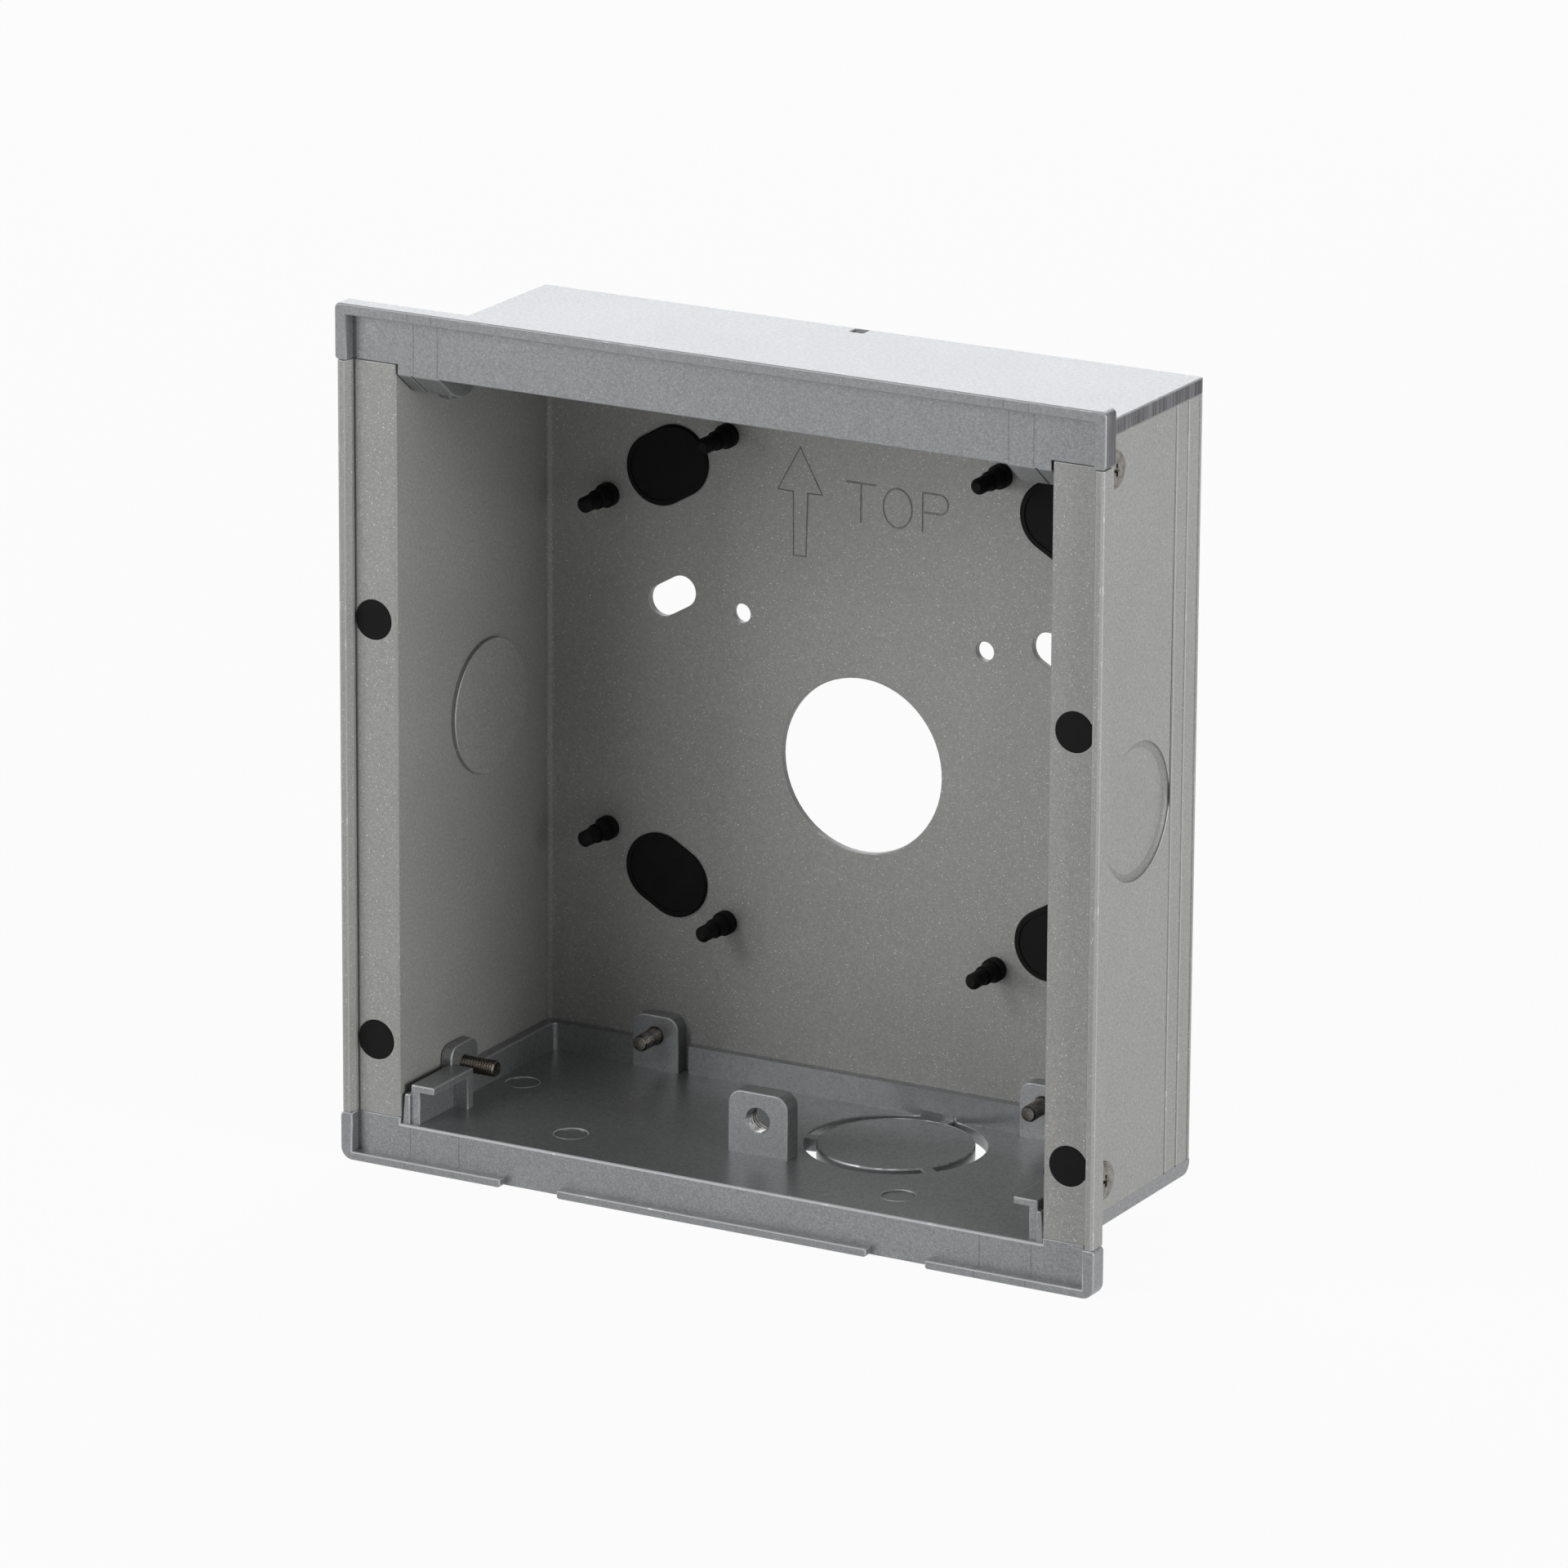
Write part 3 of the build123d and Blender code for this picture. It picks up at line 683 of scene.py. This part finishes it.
def cross_recess(material, top):
    """Mesh of the driver that presses a cross into a head: two tapered bars down from the top."""
    form = bmesh.new()
    for turn in (0, pi / 2):
        bar = bmesh.ops.create_cube(form, size=1)["verts"]
        for vert in bar:
            low = vert.co.z < 0
            vert.co.x *= THREAD_DIAMETER * MM * RECESS_REACH[0 if low else 1]
            vert.co.y *= RECESS_WIDTH * MM * (RECESS_TAPER if low else 1.0)
            vert.co.z = top - RECESS_DEPTH * MM if low else top + RECESS_DEPTH * MM
        bmesh.ops.rotate(form, verts=bar, matrix=Matrix.Rotation(turn, 3, "Z"))
    mesh = bpy.data.meshes.new("recess")
    form.to_mesh(mesh)
    form.free()
    mesh.materials.append(material)
    return mesh


def pan_head(width):
    """Low round head that stands on z = 0; width is in metres."""
    radius = width / 2
    height = SIDE_HEAD_HEIGHT * MM
    rounding = SIDE_HEAD_ROUNDING * height
    foot = SIDE_HEAD_FOOT * MM
    profile = [(0, 0), (radius - foot, 0), (radius, foot)]
    for i in range(7):
        bend = pi / 2 * i / 6
        profile.append((radius - rounding * (1 - cos(bend)), height - rounding * (1 - sin(bend))))
    return turned(profile + [(radius * SIDE_HEAD_FLAT, height), (0, height)])


def sunk_head(width):
    """Countersunk head with its flat top at z = 0; width is in metres."""
    land = REAR_HEAD_LAND * MM
    root = THREAD_DIAMETER / 2 * MM
    radius = width / 2
    edge = REAR_HEAD_EDGE * MM
    cone_end = -land - (radius - root)
    return turned([(0, 0), (radius - edge, 0), (radius, -edge), (radius, -land),
                   (root, cone_end), (0, cone_end)])


def make_screw(name, head, recess, thread, movement, steel, head_steel):
    """Screw from its head and threaded rod, moved to its place in its node's stead."""
    head.materials.append(steel)
    piece = add_object(name + "_threaded", head)
    cut_out(piece, recess)
    for face in piece.data.polygons:
        face.material_index = 1
    form = bmesh.new()
    form.from_mesh(piece.data)
    form.from_mesh(thread)
    whole = bpy.data.meshes.new(name)
    form.to_mesh(whole)
    form.free()
    whole.transform(movement)
    whole.materials.append(steel)
    whole.materials.append(head_steel)
    piece.data = whole
    smooth_faces(whole, SCREW_SMOOTH_ANGLE)
    stand_for(piece, name)


def make_screws(tree, steel, head_steel):
    """The eight screws, each where its CAD node is."""
    for name in sorted(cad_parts):
        if "screw" not in name:
            continue
        low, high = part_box(name)
        middle = (low + high) / 2
        if name.startswith("side"):
            outward = 1 if middle.x > 0 else -1
            head_height = SIDE_HEAD_HEIGHT * MM
            outside = high.x if outward > 0 else low.x
            foot = Vector((outside - outward * head_height, middle.y, middle.z))
            turn = Matrix.Rotation(outward * pi / 2, 4, "Y")
            head = pan_head(high.z - low.z)
            length = (high.x - low.x - head_height) / MM
        else:
            head_height = 0
            foot = Vector((middle.x, high.y, middle.z))
            turn = Matrix.Rotation(-pi / 2, 4, "X")
            head = sunk_head(high.z - low.z)
            length = (high.y - low.y) / MM
        thread = threaded_rod(tree, steel, Length=length)
        recess = cross_recess(steel, head_height)
        make_screw(name, head, recess, thread, Matrix.Translation(foot) @ turn, steel, head_steel)


# The extrusion and the caps

def slope(start, end, solid):
    """Ring section: a hollow curve from start to end, closed by a point inside the metal."""
    section = []
    for i in range(9):
        bend = pi / 2 * i / 8
        radius = start[0] + (end[0] - start[0]) * (1 - cos(bend))
        height = start[1] + (end[1] - start[1]) * sin(bend)
        section.append((radius * MM, height * MM))
    return section + [(solid[0] * MM, solid[1] * MM), section[0]]


def add_rings(piece, rings, slot):
    """Join turned rings, each a section and a movement, to the piece in one of its materials."""
    whole = bmesh.new()
    whole.from_mesh(piece.data)
    for section, movement in rings:
        ring = turned(section, RING_STEPS)
        ring.transform(movement)
        for face in ring.polygons:
            face.material_index = slot
        whole.from_mesh(ring)
    whole.to_mesh(piece.data)
    whole.free()


def add_pressed_slopes(piece):
    """Soft slope inside the outer rim of both pressed knock-outs, coloured darker as painted shade.
    """
    rim = KNOCKOUT_RADIUS + 0.02
    deep = WALL_OUTER - KNOCKOUT_STEP
    section = slope((rim, WALL_OUTER - 0.15), (rim - KNOCKOUT_SLOPE, deep - 0.01), (rim, deep - 0.05))
    middle = Matrix.Translation(place(0, *KNOCKOUT_PLACE))
    rings = [(section, middle @ Matrix.Rotation(side * pi / 2, 4, "Y")) for side in (-1, 1)]
    before = len(piece.data.polygons)
    add_rings(piece, rings, SLOPE_SLOT)
    for face in piece.data.polygons[before:]:
        face.use_smooth = True


def paint_shade_in_hollows(piece):
    """Painted shade: the grooves in one darker paint, the rear corners and the steps of the
    knock-outs in another.
    """
    corner = place(WALL_INNER - CORNER_REACH, BACK_INNER - CORNER_REACH, 0)
    outside = place(WALL_OUTER, 0, 0).x
    for face in piece.data.polygons:
        inward = outside - abs(face.center.x)
        slanted = 0.2 < abs(face.normal.x) < 0.97 and abs(face.normal.z) < 0.1
        if slanted and GROOVE_FROM * MM < inward < GROOVE_TO * MM:
            face.material_index = GROOVE_SLOT
        in_corner = abs(face.center.x) > corner.x and face.center.y > corner.y
        if slanted and in_corner and inward > CORNER_FROM * MM:
            face.material_index = CORNER_SLOT
        off = face.center - place(face.center.x / MM, *KNOCKOUT_PLACE)
        on_step = abs(face.normal.x) < 0.3 and inward < KNOCKOUT_TO * MM
        if on_step and off.length < (KNOCKOUT_RADIUS + 0.1) * MM:
            face.material_index = CORNER_SLOT


def make_extrusion(paint, edge, line, groove, corner, slopes):
    """The extrusion: fine edges, darker grooves, corners and knock-out slopes as painted shade, and
    the marking in its back wall.
    """
    piece = copy_of("body_extrusion", "extrusion", (paint, edge, line, groove, corner, slopes))
    cut_out(piece, marking_lines(line))
    paint_shade_in_hollows(piece)
    low = place(MARK_LOW[0], 0, MARK_LOW[1])
    high = place(MARK_HIGH[0], 0, MARK_HIGH[1])

    def width_at(middle):
        in_marking = low.x < middle.x < high.x and low.z < middle.z < high.z
        return 0.0 if in_marking else EXTRUSION_EDGE

    round_edges(piece, EXTRUSION_EDGE, width_at)
    add_pressed_slopes(piece)
    stand_for(piece, "body_extrusion")


def close_notch(piece):
    """The notch in the plate's rear edge a little to the left, shallower, with a wall behind it."""
    inside = place(NOTCH_HALF + 0.05, NOTCH_FRONT, TOP_FACE - NOTCH_BELOW)
    floor = place(0, 0, TOP_FACE - NOTCH_DEPTH).z
    for vertex in piece.data.vertices:
        if abs(vertex.co.x) < inside.x and vertex.co.y > inside.y and vertex.co.z > inside.z:
            vertex.co.x -= NOTCH_SHIFT * MM
            vertex.co.z = max(vertex.co.z, floor)
    form = bmesh.new()
    form.from_mesh(piece.data)
    low = place(-NOTCH_HALF - NOTCH_SHIFT, NOTCH_WALL[0], TOP_FACE - NOTCH_DEPTH - 0.05)
    high = place(NOTCH_HALF - NOTCH_SHIFT, NOTCH_WALL[1], TOP_FACE - 0.03)
    size = Matrix.Diagonal((*(high - low), 1))
    made = bmesh.ops.create_cube(form, size=1, matrix=Matrix.Translation((low + high) / 2) @ size)
    for vertex in made["verts"]:
        if vertex.co.y < low.y + 0.01 * MM and vertex.co.z < low.z + 0.01 * MM:
            vertex.co.y -= NOTCH_WALL_FOOT * MM
    form.to_mesh(piece.data)
    form.free()


def make_top_cap(paint, edge, end, face_paint):
    """The top casting: rounder edges, worn and lightened by a painted highlight, both of its ends
    machined bare, and a smooth top face.
    """
    piece = copy_of("top_cap", "top_casting", (paint, edge, end, face_paint))
    close_notch(piece)
    near_end = place(TOP_CAP_END, 0, 0).x
    for face in piece.data.polygons:
        if face.normal.x * face.center.x > near_end:
            face.material_index = END_SLOT
        if face.normal.z > 0.9 and face.area > (TOP_FACE_LEAST * MM) ** 2:
            face.material_index = TOP_FACE_SLOT
    front = place(0, CAP_FRONT_DEPTH, 0).y
    round_edges(piece, CAP_FRONT_EDGE, lambda m: CAP_FRONT_EDGE if m.y < front else CAP_INNER_EDGE)
    stand_for(piece, "top_cap")


def side_lip(outward):
    """Low lip beside a side wall, with a fillet where it meets the rear lip; outward is 1 or -1."""
    fillet_x = SIDE_LIP_INNER - LIP_FILLET
    wall, back = WALL_INNER - LIP_INTO_WALL, BACK_INNER - LIP_INTO_WALL
    outline = [(wall, SIDE_LIP_FRONT), (SIDE_LIP_INNER, SIDE_LIP_FRONT)]
    for i in range(7):
        bend = pi / 2 * i / 6
        fillet_y = REAR_LIP_FRONT - LIP_FILLET * (1 - sin(bend))
        outline.append((fillet_x + LIP_FILLET * cos(bend), fillet_y))
    outline += [(fillet_x, back), (wall, back)]
    form = bmesh.new()
    foot_z = FLOOR_TOP - LIP_INTO_FLOOR
    foot = form.faces.new([form.verts.new(place(outward * x, y, foot_z)) for x, y in outline])
    made = bmesh.ops.extrude_face_region(form, geom=[foot])["geom"]
    raised = [part for part in made if isinstance(part, bmesh.types.BMVert)]
    climb = Vector((0, 0, (SIDE_LIP_HEIGHT + LIP_INTO_FLOOR) * MM))
    bmesh.ops.translate(form, verts=raised, vec=climb)
    bmesh.ops.recalc_face_normals(form, faces=form.faces)
    return form


def add_side_lips(piece):
    """Join both side lips to the bottom casting."""
    for outward in (-1, 1):
        form = side_lip(outward)
        mesh = bpy.data.meshes.new("side_lip")
        form.to_mesh(mesh)
        form.free()
        mesh.materials.append(piece.data.materials[0])
        lip = add_object("side_lip", mesh)
        change = piece.modifiers.new("lip", "BOOLEAN")
        change.operation = "UNION"
        change.object = lip
        change.solver = "EXACT"
        settle(piece)
        bpy.data.objects.remove(lip)


def settle_marks(piece):
    """Move the floor's four shallow round marks a little, to where the casting has them."""
    reach = (FLOOR_MARK_RADIUS + 0.2) * MM
    for (x, y), (to_x, to_y) in FLOOR_MARKS:
        middle = place(x, y, FLOOR_TOP)
        for vertex in piece.data.vertices:
            off = vertex.co - middle
            if off.xy.length < reach and -0.4 * MM < off.z < 0.01 * MM:
                vertex.co += Vector((to_x - x, to_y - y, 0)) * MM


def add_burrs(piece):
    """Low raised ring round each of the floor's four marks and on the rim of its knock-out, coloured
    mostly bare metal as a painted highlight along it.
    """
    lines = [(spot, FLOOR_MARK_RADIUS, MARK_BURR) for _, spot in FLOOR_MARKS]
    lines.append((FLOOR_KNOCKOUT, FLOOR_KNOCKOUT_RIM, RIM_BURR))
    inner, outer = BURR_FOOT
    rings = []
    for (x, y), radius, crest in lines:
        points = ((inner, -BURR_SINK), (BURR_CREST, crest), (outer, -BURR_SINK), (inner, -BURR_SINK))
        section = [((radius + off) * MM, rise * MM) for off, rise in points]
        rings.append((section, Matrix.Translation(place(x, y, FLOOR_TOP))))
    add_rings(piece, rings, BURR_SLOT)


def make_bottom_cap(paint, edge, burr, bore, tab_lit_paint, tree):
    """The bottom casting: rounder edges, worn and lightened by a painted highlight, side lips, and a
    thread cut in its upright tab.
    """
    piece = copy_of("bottom_cap", "bottom_casting", (paint, edge, burr, tab_lit_paint))
    settle_marks(piece)
    add_side_lips(piece)
    tap = threaded_rod(tree, bore, Diameter=TAB_THREAD_DIAMETER, Depth=TAB_THREAD_DEPTH,
                       Pitch=TAB_THREAD_PITCH, Length=TAB_THREAD_LENGTH, Tip=TAB_THREAD_TIP)
    start = place(*TAB_THREAD_PLACE)
    tap.transform(Matrix.Translation(start) @ Matrix.Rotation(pi / 2, 4, "X"))
    cut_out(piece, tap)
    # painted light: the tabs' front faces take a paint 1.3 times lighter, as they catch more light
    # than the lip behind
    tab_front = place(0, REAR_TAB_FRONT, 0).y
    for face in piece.data.polygons:
        if face.normal.y < -0.9 and abs(face.center.y - tab_front) < 0.05 * MM:
            face.material_index = TAB_SLOT

    reach = (TAB_THREAD_DIAMETER / 2 + 0.2) * MM
    sill = place(0, SILL_DEPTH, FLOOR_TOP)
    front = place(0, CAP_FRONT_DEPTH, 0).y

    def width_at(middle):
        if abs(middle.x - start.x) < reach and abs(middle.z - start.z) < reach:
            return 0.0
        if abs(middle.z - sill.z) < 0.05 * MM and middle.y < sill.y:
            return SILL_EDGE
        return CAP_FRONT_EDGE if middle.y < front else CAP_INNER_EDGE

    round_edges(piece, SILL_EDGE, width_at)
    add_burrs(piece)
    stand_for(piece, "bottom_cap")


# Stage

def light_panel(name, centre, target, width, height, power, colour=(1, 1, 1)):
    """Soft rectangular lamp that faces a point."""
    data = bpy.data.lights.new(name, "AREA")
    data.shape = "RECTANGLE"
    data.size = width
    data.size_y = height
    data.energy = power
    data.color = colour
    lamp = bpy.data.objects.new(name, data)
    lamp.location = centre
    lamp.rotation_euler = (Vector(target) - Vector(centre)).to_track_quat("-Z", "Y").to_euler()
    bpy.context.scene.collection.objects.link(lamp)


def seen_directly(tree):
    """1 where the camera, a reflection or a clear material looks at a surface, else 0."""
    path = tree.nodes.new("ShaderNodeLightPath")
    either = calculate(tree, "MAXIMUM", path.outputs["Is Camera Ray"], path.outputs["Is Glossy Ray"])
    return calculate(tree, "MAXIMUM", either, path.outputs["Is Transmission Ray"])


def seen_white(tree, surface, share):
    """Add white light to a surface that lights nothing but is seen."""
    glow = tree.nodes.new("ShaderNodeEmission")
    glow.inputs["Strength"].default_value = 1.0
    mix = tree.nodes.new("ShaderNodeMixShader")
    seen = calculate(tree, "MULTIPLY", seen_directly(tree), share)
    tree.links.new(seen, mix.inputs["Fac"])
    tree.links.new(surface, mix.inputs[1])
    tree.links.new(glow.outputs[0], mix.inputs[2])
    tree.links.new(mix.outputs[0], tree.nodes["Material Output"].inputs["Surface"])


def white_floor():
    """Pale floor that keeps the box's soft shadow."""
    mesh = bpy.data.meshes.new("floor")
    form = bmesh.new()
    bmesh.ops.create_grid(form, x_segments=1, y_segments=1, size=6)
    form.to_mesh(mesh)
    form.free()
    floor = add_object("floor", mesh)
    material, tree, shader = new_material("floor_paper")
    shader.inputs["Base Color"].default_value = (0.9, 0.9, 0.9, 1)
    shader.inputs["Roughness"].default_value = 0.9
    seen_white(tree, shader.outputs[0], 0.94)
    mesh.materials.append(material)


def white_world(strength):
    """Even light from all round, on a background that is seen as plain white."""
    world = bpy.data.worlds.new("studio")
    bpy.context.scene.world = world
    world.use_nodes = True
    tree = world.node_tree
    back = tree.nodes["Background"]
    tree.links.new(span(tree, seen_directly(tree), 0, 1, strength, 1.0), back.inputs["Strength"])
    back.inputs["Color"].default_value = (1, 1, 1, 1)


look_from()
white_floor()
white_world(0.03)
light_panel("backdrop", (-0.9, 1.7, 0.9), (0, 0, 0.15), 2.2, 1.2, 16.2, (0.955, 0.975, 1.0))
light_panel("from_right", (1.6, -0.35, 0.3), (0, 0, 0.08), 0.7, 0.7, 19)
light_panel("from_left", (-0.7, -1.4, 1.1), (0, 0, 0.08), 0.7, 0.7, 8)
light_panel("low_left", (-1.25, -1.15, 0.4), (0, 0, 0.08), 0.7, 0.7, 10.5)

EXTRUSION_GREY = (0.315, 0.315, 0.308)
CAP_GREY = (0.262, 0.267, 0.272)
BARE_METAL = (0.62, 0.63, 0.64)

make_extrusion(
    paint=silver_paint("extrusion_paint", EXTRUSION_GREY, 0.42, 0.15, 0.8),
    # edge paint 1.1 times lighter: a painted highlight along the rounded edges, with real wear
    # patches
    edge=worn_edge_with_painted_highlight("extrusion_edge", tinted(EXTRUSION_GREY, 1.1), BARE_METAL, 0.12),
    line=shaded_pressed_line(EXTRUSION_GREY),
    # grooves, rear inner corners and knock-out steps and slopes: paint darkened as painted shade
    groove=silver_paint("groove_painted_shade", tinted(EXTRUSION_GREY, 0.6), 0.5, 0.4),
    corner=silver_paint("corner_painted_shade", tinted(EXTRUSION_GREY, 0.68), 0.5, 0.15),
    slopes=silver_paint("step_painted_shade", tinted(EXTRUSION_GREY, 0.8), 0.5, 0.15, 0.6))

# edge paint 1.2 times lighter: a painted highlight along the caps' edges, with real wear patches
cap_edge = worn_edge_with_painted_highlight("cap_edge", tinted(CAP_GREY, 1.2), tinted(BARE_METAL, 0.75), 0.13)
make_top_cap(
    paint=silver_paint("top_cap_paint", CAP_GREY, 0.34, 0.52, 0.35, 0.75, TOP_MOULD_LINES),
    edge=cap_edge,
    end=brushed_cut("brushed_end", (0.10, 0.10, 0.105)),
    face_paint=silver_paint("top_face_paint", CAP_GREY, 0.34, 0.52, 0.0, 0.12))

threads = thread_tree()
make_bottom_cap(
    paint=silver_paint("bottom_cap_paint", CAP_GREY, 0.32, 0.55, 0.35, 0.75, BOTTOM_MOULD_LINES),
    edge=cap_edge,
    # raised rings mostly bare metal: real burrs, with their brightness a painted highlight
    burr=worn_edge_with_painted_highlight("burr_highlight_metal", CAP_GREY, BARE_METAL, 0.3),
    bore=screw_steel("bore_metal", (0.2, 0.2, 0.2), (0.4, 0.4, 0.4)),
    # paint 1.3 times lighter on the tab fronts, as painted light
    tab_lit_paint=silver_paint("tab_lit_paint", tinted(CAP_GREY, 1.3), 0.32, 0.55, 0.35, 0.6),
    tree=threads)

make_screws(
    tree=threads,
    steel=screw_steel("screw_steel", (0.25, 0.235, 0.21), (0.42, 0.40, 0.365)),
    head_steel=screw_steel("head_steel", (0.12, 0.113, 0.103), (0.26, 0.247, 0.225)))

black_rubber = plug_rubber()
for name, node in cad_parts.items():
    if "plug" in name:
        node.data.materials.clear()
        node.data.materials.append(black_rubber)

bpy.context.scene.view_settings.view_transform = "Standard"
